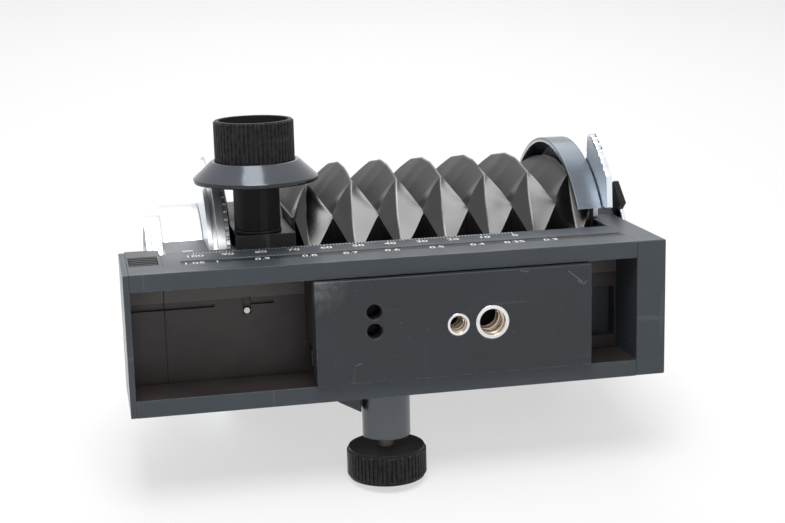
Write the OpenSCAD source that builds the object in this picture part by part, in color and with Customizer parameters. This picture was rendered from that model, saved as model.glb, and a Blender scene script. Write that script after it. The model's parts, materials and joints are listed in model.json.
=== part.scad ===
// Macro bellows unit: a slotted rail on a tripod slide, a fixed front standard with a round hood,
// and a camera standard that runs along the rail by rack and pinion and folds the pleated bellows.
// X runs along the optical axis towards the lens, Z from the tripod face to the bellows.
// The origin is the mouth of the large tripod thread, in the face of the tripod plate.

/* [Rail] */
// Length of the rail frame from end to end
rail_len = 163.7; // [160:0.1:190]
// Width of the rail across its side faces
rail_w = 42.4; // [41:0.1:48]
// Height of the rail from its underside to its top
rail_h = 26.8; // [26:0.1:30]
// Thickness of each side wall of the rail
flange_t = 5.1; // [4.5:0.1:6]
// Depth of the channel in the underside
channel_depth = 18; // [17.5:0.1:18.6]
// Thickness of the plate that closes the rear end
end_cap_t = 1.8; // [1.2:0.1:3]
// Length of the block at the rear end
end_block_len = 10.4; // [9.5:0.1:11]
// Height of the rear block above the rail's top
end_block_rise = 8.1; // [4:0.1:9]
// Thickness of the front standard along the rail
front_t = 9.35; // [8:0.05:12]
// Height of the numbered groove in the side face
scale_w = 5; // [4:0.1:6]
// Distance of the groove from the rail's underside
scale_rise = 10.5; // [8:0.1:11]
// Depth of the numbered groove
scale_depth = 0.3; // [0.2:0.05:0.6]

/* [Guides] */
// Width of the slot in the rail's top
slot_w = 13; // [10:0.1:13.4]
// Thickness of the slot's lips
lip_t = 3.2; // [2.8:0.1:3.6]
// Width of the slot below its lips
under_w = 18; // [15:0.1:20]
// Height of the slot below its lips
under_h = 3.6; // [3:0.1:3.8]
// Free play on each side of a guide
guide_gap = 0.1; // [0.05:0.01:0.2]
// Running clearance of a shaft in its bore, on the radius
run_fit = 0.04; // [0.02:0.01:0.08]
// How far the camera standard travels along the rail
travel = 87; // [60:0.5:89]

/* [Tripod slide] */
// Front edge of the tripod plate to the front standard
plate_gap = 15.15; // [14.5:0.05:30]
// Width of the tripod plate
plate_w = 31.4; // [28:0.1:31.6]
// Thickness of the tripod plate
plate_t = 4; // [3:0.1:4.5]
// How far the plate stands proud of the rail's underside
plate_proud = 2; // [1:0.1:2.5]
// Rear end of the rail to the rear edge of the plate
plate_rear = 54.4; // [53:0.1:60]
// Rear end of the rail to the large thread
thread_x = 108; // [105:0.1:112]
// Radius of the large thread's bore
thread_large_r = 3.99; // [3.5:0.01:4.2]
// Radius of the small thread's bore
thread_small_r = 2.6; // [2.4:0.01:3]
// Distance between the two threads
thread_gap = 10.5; // [10:0.1:13]
// Wall of the threaded bushes
bush_wall = 1.2; // [0.8:0.1:1.4]
// Depth of the threaded bushes
bush_len = 12; // [8:0.1:14]
// Radius of the two plain holes
pin_hole_r = 2.25; // [1.5:0.05:2.5]
// Distance between the two plain holes
pin_hole_gap = 5.8; // [5.4:0.1:8]
// Threads to the plain holes along the rail
pin_hole_x = 36; // [30:0.1:40]

/* [Drive gear] */
// Module of the drive gear and its rack
drive_m = 0.6; // [0.5:0.05:0.65]
// Teeth on the drive pinion
drive_teeth = 12; // [10:1:13]
// Rear end of the rail to the drive shaft
drive_x = 77.4; // [74:0.1:80]
// Height of the drive shaft above the rail's underside
drive_rise = 12; // [11.5:0.1:12.4]
// Radius of the drive shaft
drive_shaft_r = 2.5; // [2:0.05:3]
// Radius of the bush that carries the drive shaft
drive_bush_r = 7.55; // [6.5:0.05:8]
// Length of that bush outside the rail
drive_bush_len = 15.3; // [12:0.1:18]
// Radius of the drive knob
drive_knob_r = 12.3; // [10:0.1:12.6]
// Thickness of the drive knob
drive_knob_t = 10; // [8:0.1:12]
// Gap between the bush and the knob
drive_knob_gap = 3.5; // [1:0.1:5]

/* [Focus gear] */
// Module of the focus gear and its rack
focus_m = 0.8; // [0.7:0.05:0.85]
// Teeth on the focus pinion
focus_teeth = 14; // [13:1:15]
// Rear end of the rail to the focus shaft
focus_x = 42.9; // [42:0.1:44]
// Radius of the focus shaft
focus_shaft_r = 3; // [2.5:0.05:3.4]
// Width of the focus rack
rack_w = 6; // [5:0.1:6.2]
// Middle of the focus rack from the middle of the rail
rack_y = 11; // [10.6:0.1:11.4]
// Depth of the rack's seat in the rail
rack_seat = 1.6; // [1.3:0.1:2]
// Height of the pinion's pitch line above the rail's top
pitch_rise = 0.6; // [0.5:0.05:0.7]

/* [Focus knob] */
// Radius of the knob's neck
neck_r = 7.1; // [6:0.1:9]
// Length of the neck
neck_len = 15.8; // [13:0.1:18]
// Radius of the skirt's rim
skirt_r = 19.15; // [17:0.05:19.2]
// Thickness of the skirt's rim
skirt_rim = 1.2; // [1:0.1:3]
// Radius of the skirt where it meets the grip
skirt_top_r = 13.5; // [13:0.1:15]
// Length of the skirt's cone
skirt_cone = 5.3; // [4:0.1:7]
// Radius of the knurled grip
grip_r = 12.25; // [11:0.05:12.6]
// Length of the knurled grip
grip_len = 12.2; // [10:0.1:15]
// Wall round the recess in the grip's end
grip_wall = 1.6; // [1.2:0.1:2.4]
// Depth of the recess in the grip's end
grip_recess = 3.2; // [1:0.1:3.6]
// Flutes round each knob
flutes = 56; // [40:1:60]

/* [Camera standard] */
// Rear end of the rail to the rear face of the standard's base
base_x = 14; // [13:0.1:15]
// Thickness of the base's floor below the bright ring
seat_t = 2.6; // [2:0.1:3]
// Length of the base
base_len = 21.5; // [20:0.1:22]
// Height of the base above the rail's top
base_rise = 23.2; // [18:0.1:24]
// Length of the pinion block
block_len = 18.2; // [17.5:0.1:19]
// How far the pinion block stands out from the rail's side
block_out = 4.4; // [3:0.1:6]
// Height of the pinion block above the rail's top
block_rise = 31.4; // [25:0.1:31.8]
// Height of the optical axis above the rail's top
axis_rise = 39.8; // [38:0.1:43]
// Sideways place of the optical axis, from the middle of the rail
axis_y = -2.8; // [-3.5:0.1:0]
// Radius of the bright ring
ring_r = 41.8; // [41:0.1:42]
// Thickness of the bright ring
ring_t = 6.8; // [5:0.1:8]
// Base's rear face to the bright ring
ring_back = 13.2; // [12:0.1:14]
// Radius of the collar that carries the bellows
collar_r = 26.3; // [25.8:0.1:26.4]
// Radius of the collar's flange
collar_flange_r = 35.2; // [33:0.1:38]
// Thickness of the collar's flange
collar_flange_t = 1.2; // [1:0.1:1.4]
// Radius of the turning camera mount
mount_r = 26.5; // [26.2:0.1:26.8]
// Radius of the journal that the camera mount turns on
journal_r = 24; // [23:0.1:24.2]
// Radius of the light opening in the camera mount
mount_bore_r = 20.5; // [18:0.1:21.5]
// Length of the bayonet barrel
bayonet_len = 5; // [3:0.1:6]
// Radius of the bayonet barrel
bayonet_r = 23.5; // [22.5:0.1:24]

/* [Front standard] */
// Outer radius of the hood
hood_r = 42.2; // [41.8:0.1:44]
// Wall of the hood
hood_wall = 1.5; // [1:0.1:2]
// Length of the hood
hood_len = 8.15; // [6:0.05:8.2]
// Thickness of the hood's front wall
hood_floor = 1.15; // [0.8:0.05:1.5]
// Half width of the gap in the hood for the pinion block
hood_gap = 26.2; // [26:0.1:28]
// Radius of the hub that the lock plate turns on
hub_r = 27.2; // [26.5:0.1:28]
// Radius of the opening in the hub
hub_bore_r = 23.5; // [23:0.1:24]
// Radius of the round boss
boss_r = 28; // [27.8:0.1:30]
// Height of the front block above the rail's top
front_rise = 30.2; // [25:0.1:32]
// Thickness of the lens lock plate
lock_t = 2; // [1.5:0.1:2.1]
// Radius of the lens lock plate's serrated tab
lock_tab_r = 51.2; // [49:0.1:52]
// Radius of the light opening in the lens mount
lens_bore_r = 21; // [18:0.1:21.2]
// Thickness of the lens mount
lens_mount_t = 3.8; // [3.5:0.1:5]

/* [Bellows] */
// Number of pleats
pleats = 7; // [5:1:8]
// Rear end of the rail to the first ridge
first_ridge = 58.3; // [57:0.1:60]
// Distance from the first ridge to the last
ridge_span = 87.9; // [84:0.1:89]
// Half height of a ridge from the optical axis
ridge_h = 37.5; // [34:0.1:37.6]
// Half width of a ridge at its corners
ridge_w = 34.6; // [33:0.1:34.8]
// Half width of a ridge at the middle of its side
ridge_side = 37.8; // [36:0.1:38]
// Half width of a ridge's flat bottom
ridge_flat = 13.2; // [10:0.1:16]
// Height of a ridge's corner from the optical axis
ridge_corner = 21.4; // [18:0.1:24]
// Half width of a valley
valley_w = 25.7; // [25.6:0.1:27]
// Half height of a valley
valley_h = 30.4; // [29.5:0.1:31]
// How far the valley's corners lean towards the next ridge
corner_lean = 1.4; // [0:0.1:2]
// Thickness of the bellows' wall
leather_t = 0.9; // [0.5:0.05:1.5]

/* [Hidden] */
$fn = 96;
eps = 0.01;

// heights
rail_z = plate_proud;
rail_top = rail_z + rail_h;
web_z = rail_z + channel_depth;
axis_z = rail_top + axis_rise;
side_y = rail_w / 2;
channel_y = side_y - flange_t;

// stations along the rail, from its rear end
block_front = end_cap_t + end_block_len;
front_x = rail_len - front_t;
plate_len = front_x - plate_gap - plate_rear;
base_front = base_x + base_len;
block_end = base_front + block_len;
ring_x = base_x + ring_back;
ring_front = ring_x + ring_t;
slot_spare = 4.5;
slot_end = block_end - 0.7 + travel + slot_spare;
hood_x = front_x - hood_len;
lock_x = front_x + 0.25;
boss_x = lock_x + lock_t + 0.2;

// gears
pressure = 20;
backlash = 0.12;
focus_pitch_r = focus_m * focus_teeth / 2;
focus_pitch_z = rail_top + pitch_rise;
focus_z = focus_pitch_z + focus_pitch_r;
drive_pitch_r = drive_m * drive_teeth / 2;
drive_z = rail_z + drive_rise;
drive_pitch_z = drive_z - drive_pitch_r;
gear_w = rack_w - 0.4;
drive_rack_y = 9;
drive_rack_w = 5;

// bellows stations
frame_t = 1.2;
bellows_rear = block_end + 0.2 + frame_t;
bellows_front = front_x - hood_floor - frame_t;
pleat = ridge_span / (pleats - 1);

module from_rear() {
    translate([-thread_x, 0, 0]) children();
}

// a box between two corners
module block(low, high) {
    translate(low) cube(high - low);
}

// a disc or tube whose axis runs along X
module along_x(x0, x1, r, bore = 0, y = axis_y, z = axis_z) {
    translate([x0, y, z]) rotate([0, 90, 0]) difference() {
        cylinder(h = x1 - x0, r = r);
        if (bore > 0) translate([0, 0, -1]) cylinder(h = x1 - x0 + 2, r = bore);
    }
}

// a shape turned about the optical axis, from points of radius and station
module turned_x(points) {
    translate([0, axis_y, axis_z]) rotate([0, 90, 0]) rotate_extrude() polygon(points);
}

// a piece of a tube between two radii, that reaches half_deg to each side of the angle at
module sector_x(x0, x1, r0, r1, at, half_deg) {
    far = 2 * r1;
    translate([x0, axis_y, axis_z]) rotate([at, 0, 0]) rotate([90, 0, 90]) linear_extrude(x1 - x0)
        difference() {
            intersection() {
                circle(r = r1);
                polygon([[0, 0], [far, -far * tan(half_deg)], [far, far * tan(half_deg)]]);
            }
            circle(r = r0);
        }
}

// a disc or tube whose axis runs along Y
module along_y(y0, y1, r, x, z, bore = 0) {
    translate([x, y0, z]) rotate([-90, 0, 0]) difference() {
        cylinder(h = y1 - y0, r = r);
        if (bore > 0) translate([0, 0, -1]) cylinder(h = y1 - y0 + 2, r = bore);
    }
}

// a shape drawn on the YZ plane and drawn out along X
module plate_x(x0, x1) {
    translate([x0, 0, 0]) rotate([90, 0, 90]) linear_extrude(x1 - x0) children();
}

// involute of a gear's base circle, as a point at the roll angle a
function involute(rb, a) = rb * [cos(a) + a * PI / 180 * sin(a), sin(a) - a * PI / 180 * cos(a)];
function roll_at(rb, r) = sqrt(r * r / rb / rb - 1) * 180 / PI;
function polar_r(p) = sqrt(p[0] * p[0] + p[1] * p[1]);
function turned(p, a) = [p[0] * cos(a) - p[1] * sin(a), p[0] * sin(a) + p[1] * cos(a)];

// one flank of a tooth that is centred on the X axis, from its root to its tip
function flank(m, teeth, side) =
    let (rp = m * teeth / 2, rb = rp * cos(pressure), tip = rp + m, steps = 4)
    let (at_pitch = involute(rb, roll_at(rb, rp)))
    let (half = (90 - backlash / 2 / m * 180 / PI) / teeth + atan2(at_pitch[1], at_pitch[0]))
    [for (i = [0:steps])
        let (p = involute(rb, roll_at(rb, tip) * i / steps))
        turned([p[0], side * p[1]], -side * half)];

function tooth(m, teeth) =
    let (root = m * teeth / 2 - 1.2 * m)
    let (low = flank(m, teeth, 1), high = flank(m, teeth, -1), n = len(low) - 1)
    concat([low[0] * root / polar_r(low[0])], low,
        [for (i = [0:n]) high[n - i]], [high[0] * root / polar_r(high[0])]);

// a gear whose tooth gap points along -Y of its own plane
module gear(m, teeth) {
    half_step = 180 / teeth;
    polygon([for (k = [0:teeth - 1]) for (p = tooth(m, teeth))
        turned(p, -90 + half_step + 2 * half_step * k)]);
}

// a straight rack: the line of its teeth has a tooth centred on each x of the list
function rack_teeth(m, xs, pitch_z) = [for (x = xs)
    let (half = PI * m / 4 - backlash / 4, up = m * 0.95, down = m * 1.2)
    for (c = [[-half - down * tan(pressure), -down], [-half + up * tan(pressure), up],
              [half - up * tan(pressure), up], [half + down * tan(pressure), -down]])
    [x + c[0], pitch_z + c[1]]];

module rack(m, x_tooth, x0, x1, pitch_z, base_z, y0, y1) {
    step = PI * m;
    low = ceil((x0 - x_tooth) / step + 0.6);
    high = floor((x1 - x_tooth) / step - 0.6);
    xs = [for (k = [low:high]) x_tooth + k * step];
    translate([0, y1, 0]) rotate([90, 0, 0]) linear_extrude(y1 - y0)
        polygon(concat([[x0, base_z], [x0, pitch_z - m * 1.2]], rack_teeth(m, xs, pitch_z),
            [[x1, pitch_z - m * 1.2], [x1, base_z]]));
}

// a round outline with straight-sided flutes
module fluted(r, depth, count) {
    step = 360 / count;
    polygon([for (k = [0:count - 1]) for (c = [[0, r], [0.52, r], [0.64, r - depth], [0.88, r - depth]])
        c[1] * [cos((k + c[0]) * step), sin((k + c[0]) * step)]]);
}

// ---- tripod slide ----
module tripod_plate() {
    color("#2b2c2e") from_rear() difference() {
        block([plate_rear, -plate_w / 2, 0], [plate_rear + plate_len, plate_w / 2, plate_t]);
        translate([thread_x, 0, -1]) cylinder(h = plate_t + 2, r = thread_large_r + bush_wall);
        translate([thread_x - thread_gap, 0, -1])
            cylinder(h = plate_t + 2, r = thread_small_r + bush_wall * 0.7);
        for (k = [0, 1]) translate([thread_x - pin_hole_x, 0.1 - k * pin_hole_gap, -1])
            cylinder(h = plate_t + 2, r = pin_hole_r);
    }
}

module thread_bush_small() {
    color("#c9b68c") translate([-thread_gap, 0, 0]) difference() {
        cylinder(h = bush_len, r = thread_small_r + bush_wall * 0.7);
        translate([0, 0, -1]) cylinder(h = bush_len + 2, r = thread_small_r);
    }
}

module thread_bush_large() {
    color("#c8c2b2") difference() {
        cylinder(h = bush_len, r = thread_large_r + bush_wall);
        translate([0, 0, -1]) cylinder(h = bush_len + 2, r = thread_large_r);
    }
}

slide_y = channel_y - guide_gap;
slide_top = web_z - 0.2;
tongue_t = 1.4;
trough_y = drive_rack_y - drive_rack_w / 2 - 1;
trough_z = plate_t + 3.2;

module slide_block() {
    x0 = plate_rear;
    x1 = plate_rear + plate_len;
    color("#3a3938") from_rear() difference() {
        union() {
            block([x0, -slide_y, plate_t], [x1, slide_y, slide_top]);
            block([x0, -slide_y - 1.8, slide_top - tongue_t], [x1, slide_y + 1.8, slide_top]);
        }
        block([x0 - 1, trough_y, trough_z], [x1 + 1, side_y, slide_top - tongue_t]);
        translate([thread_x, 0, plate_t - 1])
            cylinder(h = bush_len, r = thread_large_r + bush_wall);
        translate([thread_x - thread_gap, 0, plate_t - 1])
            cylinder(h = bush_len, r = thread_small_r + bush_wall * 0.7);
        for (k = [0, 1]) translate([thread_x - pin_hole_x, 0.1 - k * pin_hole_gap, plate_t - 1])
            cylinder(h = 5, r = pin_hole_r);
    }
}

module slide_rack() {
    color("#8d8a80") from_rear()
        rack(drive_m, drive_x, plate_rear, plate_rear + plate_len, drive_pitch_z, trough_z,
            drive_rack_y - drive_rack_w / 2, drive_rack_y + drive_rack_w / 2);
}

// ---- rail ----
module rail_body() {
    x0 = end_cap_t;
    color("#2d3033") from_rear() difference() {
        block([x0, -side_y, rail_z], [front_x, side_y, rail_top]);
        // channel and the undercuts that hold the tripod slide
        block([x0 - 1, -channel_y, rail_z - 1], [front_x + 1, channel_y, web_z]);
        block([x0 - 1, -channel_y - 2, web_z - tongue_t - 0.4], [front_x + 1, channel_y + 2, web_z]);
        // guide slot for the camera standard
        block([block_front, -slot_w / 2, rail_top - lip_t], [slot_end, slot_w / 2, rail_top + 1]);
        block([block_front, -under_w / 2, rail_top - lip_t - under_h],
            [slot_end, under_w / 2, rail_top - lip_t + eps]);
        // seat of the focus rack
        block([rack_x0, -rack_y - rack_w / 2, rail_top - rack_seat],
            [rack_x1, -rack_y + rack_w / 2, rail_top + 1]);
        // seat of the rear block and its cheek
        block([x0 - 1, -side_y - 1, web_z], [block_front, side_y + 1, rail_top + 1]);
        block([x0 - 1, -side_y - 1, cheek_z], [block_front, -channel_y - 2, rail_top + 1]);
        // numbered groove in the side face
        block([block_front + 5.3, -side_y - 1, rail_z + scale_rise],
            [front_x - 0.4, -side_y + scale_depth, rail_z + scale_rise + scale_w]);
        // bore for the bush of the drive shaft
        along_y(channel_y - 1, side_y + 1, drive_bush_spigot, drive_x, drive_z);
        // seats in the channel's roof: two slits, the stop pin's notch, a pocket at the front
        block([end_cap_t - 1, -6.8, web_z - 1], [27, -6, web_z + 1.2]);
        block([38, -6.8, web_z - 1], [45, -6, web_z + 1.2]);
        block([35.6, -8.4, web_z - 1], [38, -3.2, web_z + 1.2]);
        along_z_bore();
        block([slot_end + 0.8, -3.4, web_z - 1], [front_x - 0.8, 12.4, web_z + 5]);
    }
}

rack_x0 = focus_x - 8;
rack_x1 = focus_x + travel + 8;
cheek_z = rail_z + 10.3;
drive_bush_spigot = 3.8;
stop_pin_x = 36.8;
stop_pin_y = -4.2;
stop_pin_r = 1;

module along_z_bore() {
    translate([stop_pin_x, stop_pin_y, web_z - 1]) cylinder(h = 1 + 1.9, r = stop_pin_r);
}

module stop_pin() {
    color("#d8d8d4") from_rear() translate([stop_pin_x, stop_pin_y, web_z])
        cylinder(h = 1.9, r = stop_pin_r);
}

module rear_end_cap() {
    color("#2d3033") from_rear()
        block([0, -side_y, rail_z], [end_cap_t, side_y, rail_top + end_block_rise - 1.8]);
}

// the catch lies in a pocket in the block's cheek
catch_x0 = end_cap_t + 0.6;
catch_x1 = block_front - 1.2;
catch_z0 = cheek_z + 1.9;
catch_z1 = catch_z0 + 13.1;
catch_depth = 2.6;

module rear_end_block() {
    color("#2d3033") from_rear() difference() {
        union() {
            block([end_cap_t, -side_y, web_z], [block_front, side_y, rail_top + end_block_rise]);
            block([end_cap_t, -side_y, cheek_z], [block_front, -channel_y - 2, web_z + 1]);
        }
        block([catch_x0, -side_y - 1, catch_z0], [catch_x1, -side_y + catch_depth, catch_z1]);
        block([end_cap_t - 1, -6.8, web_z - 1], [block_front + 1, -6, web_z + 1.2]);
    }
}

catch_t = 0.8;
catch_back = side_y - 0.3;
module catch_button() {
    gap = 0.15;
    z0 = catch_z0 + gap;
    z1 = catch_z1 - gap;
    ribs = 5;
    rib_step = (z1 - z0) / ribs;
    color("#24262a") from_rear() difference() {
        block([catch_x0 + gap, -catch_back - 0.3, z0], [catch_x1 - gap, -catch_back + catch_t, z1]);
        for (k = [1:ribs - 1])
            block([catch_x0 - 1, -catch_back - 1, z0 + k * rib_step - 0.45],
                [catch_x1 + 1, -catch_back + 0.35, z0 + k * rib_step + 0.45]);
    }
}

spring_t = 0.25;
module catch_spring() {
    floor_y = -side_y + catch_depth;
    color("#b9b7b0") from_rear()
        block([catch_x0 + 1, floor_y - spring_t, catch_z0 + 0.4], [catch_x1 - 1, floor_y, catch_z1 - 0.4]);
}

module focus_rack() {
    color("#9a958a") from_rear()
        rack(focus_m, focus_x, rack_x0, rack_x1, focus_pitch_z, rail_top - rack_seat,
            -rack_y - rack_w / 2, -rack_y + rack_w / 2);
}

// ---- drive of the tripod slide ----
module drive_bush() {
    color("#5b5e62") from_rear() difference() {
        union() {
            along_y(channel_y, side_y + 1, drive_bush_spigot, drive_x, drive_z);
            along_y(side_y, side_y + drive_bush_len, drive_bush_r, drive_x, drive_z);
        }
        along_y(channel_y - 1, side_y + drive_bush_len + 1, drive_shaft_r + run_fit, drive_x, drive_z);
    }
}

module drive_lug() {
    color("#303236") from_rear() translate([0, 0, drive_z - 4]) linear_extrude(8)
        polygon([[drive_x - 15.4, side_y], [drive_x - 15.4, side_y + 2.8],
            [drive_x - drive_bush_r - 0.6, side_y + 6.8], [drive_x - drive_bush_r - 0.6, side_y]]);
}

knob_y = side_y + drive_bush_len + drive_knob_gap;
drive_inner_y = drive_rack_y - drive_rack_w / 2 - 0.3;

module drive_shaft() {
    color("#a7a9ab") from_rear()
        along_y(drive_inner_y, knob_y + 4, drive_shaft_r, drive_x, drive_z);
}

module drive_pinion() {
    color("#b59a5a") from_rear() difference() {
        translate([drive_x, drive_rack_y + drive_rack_w / 2, drive_z]) rotate([90, 0, 0])
            linear_extrude(drive_rack_w) gear(drive_m, drive_teeth);
        along_y(0, side_y, drive_shaft_r, drive_x, drive_z);
    }
}

module drive_knob() {
    color("#232325") from_rear() difference() {
        union() {
            translate([drive_x, knob_y, drive_z]) rotate([-90, 0, 0]) {
                translate([0, 0, 1]) linear_extrude(drive_knob_t - 2.4) fluted(drive_knob_r, 0.5, flutes);
                cylinder(h = drive_knob_t - 0.4, r = drive_knob_r - 0.6);
                translate([0, 0, drive_knob_t - 2.4])
                    cylinder(h = 1.4, r1 = drive_knob_r - 0.5, r2 = drive_knob_r - 1.4);
                cylinder(h = drive_knob_t, r = drive_knob_r - 2.6);
            }
        }
        along_y(knob_y - 1, knob_y + 4, drive_shaft_r, drive_x, drive_z);
    }
}

// ---- front standard ----
module front_standard() {
    color("#2d3033") from_rear() difference() {
        union() {
            block([front_x, -side_y, rail_z], [rail_len, side_y, rail_top + front_rise]);
            along_x(boss_x, rail_len, boss_r);
        }
        along_x(front_x - 1, boss_x, hub_r);
        along_x(boss_x - 1, rail_len + 1, lens_spigot_r);
    }
}

lens_spigot_r = 22.6;

module front_hood() {
    color("#34383c") from_rear() difference() {
        union() {
            difference() {
                along_x(hood_x, front_x, hood_r);
                along_x(hood_x - 1, front_x - hood_floor, hood_r - hood_wall);
                block([hood_x - 1, -hood_gap, 0], [front_x + 1, hood_gap, axis_z - hub_r + 1]);
            }
            along_x(front_x - hood_floor, boss_x, hub_r);
        }
        along_x(hood_x - 1, boss_x + 1, hub_bore_r);
        block([front_x - hood_len - 1, -hood_gap, 0], [front_x + 1, hood_gap, axis_z - hub_r]);
    }
}

// the lock plate turns on the hub; its tab carries a row of finger notches
tab_low = 25.3;
tab_high = 49.2;
notches = 6;
function on_tab(a, r = lock_tab_r) = [axis_y - r * cos(a), axis_z - r * sin(a)];

module lens_lock_plate() {
    gap = 0.3;
    inner_r = hub_r + run_fit + 0.05;
    rim_r = hood_r - 0.8;
    color("#c9ccd0") from_rear() difference() {
        union() {
            along_x(lock_x, lock_x + lock_t, rim_r);
            plate_x(lock_x, lock_x + lock_t)
                polygon(concat([on_tab(tab_low, hub_r + 4), on_tab(tab_low + 1, rim_r + 1)],
                    [on_tab(tab_low - 1.5, lock_tab_r - 2.2)],
                    [for (a = [tab_low:1:tab_high]) on_tab(a)],
                    [on_tab(58.4, 45.8), on_tab(58.4, hub_r + 4)]));
        }
        along_x(lock_x - 1, lock_x + lock_t + 1, inner_r);
        // clear of the front block, and open on the far side
        block([lock_x - 1, -side_y - gap, 0], [lock_x + lock_t + 1, side_y + gap, rail_top + front_rise + gap]);
        block([lock_x - 1, 12, 0], [lock_x + lock_t + 1, hood_r + 1, axis_z + hood_r + 1]);
        block([lock_x - 1, -side_y - gap - 5, 0], [lock_x + lock_t + 1, 13, axis_z - hub_r + 2]);
        for (k = [0:notches - 1])
            let (c = on_tab(tab_low + 2 + 3.45 * k, lock_tab_r + 0.35))
            along_x(lock_x - 1, lock_x + lock_t + 1, 0.95, 0, c[0], c[1]);
    }
}

lever_r = 24.9;
lever_a = 40;
lever_pin_r = 1.1;
lever_hub_r = 2.6;
lever_t = 2.2;
pocket_t = lever_t + 0.25;
paddle_r0 = lever_r + 6.1;
paddle_r1 = lever_r + 10.1;
lever_pin_y = on_tab(lever_a, lever_r)[0];
lever_pin_z = on_tab(lever_a, lever_r)[1];

module lens_mount() {
    entries = 3;
    entry_t = 1.4;
    x1 = rail_len + lens_mount_t;
    color("#d2d3d4") from_rear() difference() {
        turned_x([[lens_bore_r, boss_x + 1], [lens_spigot_r, boss_x + 1], [lens_spigot_r, rail_len],
            [boss_r, rail_len], [boss_r, x1], [lens_bore_r, x1]]);
        // bayonet entries in the bore's lip
        for (k = [0:entries - 1])
            sector_x(x1 - entry_t, x1 + 1, lens_bore_r - 1, lens_bore_r + entry_t, 360 / entries * k + 20, 20);
        // pocket for the release lever
        along_x(rail_len - eps, rail_len + pocket_t, lever_hub_r + 0.6, 0, lever_pin_y, lever_pin_z);
        plate_x(rail_len - eps, rail_len + pocket_t)
            polygon([on_tab(lever_a - 10, lever_r), on_tab(lever_a - 18, boss_r + 2),
                on_tab(lever_a + 18, boss_r + 2), on_tab(lever_a + 10, lever_r)]);
    }
}

module release_lever_pin() {
    color("#b9bbbd") from_rear()
        along_x(rail_len, rail_len + pocket_t, lever_pin_r, 0, lever_pin_y, lever_pin_z);
}

module lens_release_lever() {
    x0 = rail_len + 0.12;
    color("#1f2123") from_rear() difference() {
        union() {
            along_x(x0, x0 + lever_t, lever_hub_r, 0, lever_pin_y, lever_pin_z);
            plate_x(x0, x0 + lever_t)
                polygon([on_tab(lever_a - 5, lever_r), on_tab(lever_a - 4, paddle_r0 - 2),
                    on_tab(lever_a - 7, paddle_r0), on_tab(lever_a - 7, paddle_r1),
                    on_tab(lever_a + 9, paddle_r1), on_tab(lever_a + 9, paddle_r0),
                    on_tab(lever_a + 4, paddle_r0 - 2), on_tab(lever_a + 5, lever_r)]);
        }
        along_x(x0 - 1, x0 + lever_t + 1, lever_pin_r + run_fit, 0, lever_pin_y, lever_pin_z);
    }
}

// ---- bellows ----
// corners of a ridge and of a valley, going round the optical axis from the lower left
function ridge(s) = s * [
    [-ridge_flat, -ridge_h], [ridge_flat, -ridge_h], [ridge_w, -ridge_corner], [ridge_side, -6],
    [ridge_side, 6], [ridge_w, ridge_corner], [ridge_flat, ridge_h], [-ridge_flat, ridge_h],
    [-ridge_w, ridge_corner], [-ridge_side, 6], [-ridge_side, -6], [-ridge_w, -ridge_corner]];
function valley(s) = s * [
    [-valley_w, -valley_h], [valley_w, -valley_h], [valley_w, -6], [valley_w, 6],
    [valley_w, valley_h], [-valley_w, valley_h], [-valley_w, 6], [-valley_w, -6]];

// which corner of a valley each corner of a ridge folds to
fold_to = [0, 1, 1, 2, 3, 4, 4, 5, 5, 6, 7, 0];
is_corner = [1, 1, 0, 0, 1, 1, 0, 0];

function ridge_x(k) = first_ridge + k * pleat;
function valley_x(k) = k == 0 ? bellows_rear : k == pleats ? bellows_front : ridge_x(k - 0.5);
function lean(k, c) = k == 0 || k == pleats ? 0 : corner_lean * is_corner[c];

// ring of points: even numbers are valleys, odd numbers are ridges
function ring_pts(n, s) = n % 2 == 0
    ? [for (c = [0:7]) let (p = valley(s)[c])
        [valley_x(n / 2) + lean(n / 2, c), p[0] + axis_y, p[1] + axis_z]]
    : let (k = (n - 1) / 2, z = k == pleats - 1 ? 0.96 : 1)
        [for (p = ridge(s * z)) [ridge_x(k), p[0] + axis_y, p[1] + axis_z]];
function ring_at(n) = n % 2 == 0 ? n / 2 * 20 : (n - 1) / 2 * 20 + 8;

// triangles between ridge n and valley v, seen from outside
function band(n, v, flip, off) = [for (c = [0:11])
    let (a = off + ring_at(n) + c, b = off + ring_at(n) + (c + 1) % 12)
    let (p = off + ring_at(v) + fold_to[c], q = off + ring_at(v) + fold_to[(c + 1) % 12])
    for (t = p == q ? [[a, b, p]] : [[a, b, q], [a, q, p]])
    flip ? [t[2], t[1], t[0]] : t];

module bellows() {
    rings = 2 * pleats;
    inner = 1 - leather_t / ridge_w;
    outer_pts = [for (n = [0:rings]) each ring_pts(n, 1)];
    inner_pts = [for (n = [0:rings]) each ring_pts(n, inner)];
    count = len(outer_pts);
    walls = [for (side = [0, 1]) for (n = [1:2:rings - 1]) each concat(
        band(n, n + 1, side == 0, side * count), band(n, n - 1, side == 1, side * count))];
    rims = [for (end = [0, rings]) for (c = [0:7])
        let (a = ring_at(end) + c, b = ring_at(end) + (c + 1) % 8)
        for (t = [[a, b, b + count], [a, b + count, a + count]])
        end == 0 ? t : [t[2], t[1], t[0]]];
    color("#1b1b1d") from_rear() polyhedron(points = concat(outer_pts, inner_pts),
        faces = concat(walls, rims));
}

module frame(x0, x1, bore) {
    difference() {
        block([x0, axis_y - valley_w, axis_z - valley_h], [x1, axis_y + valley_w, axis_z + valley_h]);
        along_x(x0 - 1, x1 + 1, bore);
    }
}

module bellows_front_frame() {
    color("#202224") from_rear() frame(bellows_front, front_x - hood_floor, hub_bore_r);
}

module bellows_rear_frame() {
    color("#202224") from_rear() frame(bellows_rear - frame_t, bellows_rear, collar_bore_r);
}

// ---- camera standard ----
deck_z = rail_top + guide_gap;
seat_z = deck_z + seat_t;
collar_bore_r = mount_bore_r + 2;

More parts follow.
